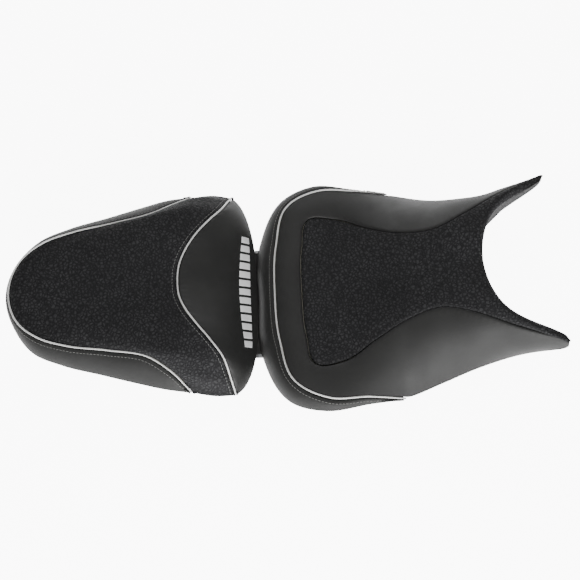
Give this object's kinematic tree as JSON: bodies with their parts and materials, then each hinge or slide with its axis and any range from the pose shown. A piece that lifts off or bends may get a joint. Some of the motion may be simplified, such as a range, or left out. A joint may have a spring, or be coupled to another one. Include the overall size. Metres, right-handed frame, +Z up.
{
  "type": "motorcycle seat",
  "caption": "Stepped motorcycle seat in two pads: a rider pad with horns that clasp the fuel tank and a raised pillion pad that lifts at its tail.",
  "frame": {"origin": "on the plane of the rubber feet, under the middle of the two pads' common box", "axes": "+X to the front of the motorcycle, +Y to its left side, +Z up"},
  "size_m": [0.6672, 0.3118, 0.1183],
  "materials": {
    "smooth_vinyl": "smooth seat vinyl, soft sheen",
    "grip_vinyl": "crinkled grip vinyl, matte",
    "piping": "satin silver piping",
    "silver_trim": "satin silver print",
    "foam": "moulded polyurethane foam",
    "pan_plastic": "moulded black polypropylene",
    "rubber": "matte black rubber",
    "zinc_steel": "zinc-plated steel"
  },
  "bodies": {
    "rider_seat": {"rider_base_pan": "pan_plastic", "rider_foam": "foam", "rider_insert_panel": "grip_vinyl", "rider_side_cover": "smooth_vinyl", "rider_rear_band": "smooth_vinyl", "rider_piping": "piping", "rider_rear_bumper_left": "rubber", "rider_rear_bumper_right": "rubber", "rider_front_bumper_left": "rubber", "rider_front_bumper_right": "rubber", "rider_rear_lug_left": "zinc_steel", "rider_rear_lug_right": "zinc_steel", "rider_lug_rivet_left_1": "zinc_steel", "rider_lug_rivet_left_2": "zinc_steel", "rider_lug_rivet_right_1": "zinc_steel", "rider_lug_rivet_right_2": "zinc_steel", "rider_lug_grommet_left": "rubber", "rider_lug_grommet_right": "rubber", "rider_lug_collar_left": "zinc_steel", "rider_lug_collar_right": "zinc_steel", "rider_lug_bolt_left": "zinc_steel", "rider_lug_bolt_right": "zinc_steel", "rider_front_tongue": "pan_plastic", "rider_tongue_screw_left": "zinc_steel", "rider_tongue_screw_right": "zinc_steel"},
    "pillion_seat": {"pillion_base_pan": "pan_plastic", "pillion_foam": "foam", "pillion_centre_panel": "grip_vinyl", "pillion_tail_band": "smooth_vinyl", "pillion_front_panel": "smooth_vinyl", "pillion_tail_piping": "piping", "pillion_front_piping": "piping", "pillion_emblem": "silver_trim", "pillion_front_bumper_left": "rubber", "pillion_front_bumper_right": "rubber", "pillion_tail_bumper_left": "rubber", "pillion_tail_bumper_right": "rubber", "pillion_tail_hook_left": "zinc_steel", "pillion_tail_hook_right": "zinc_steel", "pillion_hook_rivet_left": "zinc_steel", "pillion_hook_rivet_right": "zinc_steel", "pillion_striker_plate": "zinc_steel", "pillion_striker": "zinc_steel", "pillion_striker_screw_left": "zinc_steel", "pillion_striker_screw_right": "zinc_steel"}
  },
  "joints": [
    {"name": "pillion_lift", "type": "hinge", "parent": "rider_seat", "child": "pillion_seat", "pos_m": [-0.27704, 0, 0.0102], "axis": [0, -1, 0], "range_deg": [0, 30]}
  ]
}
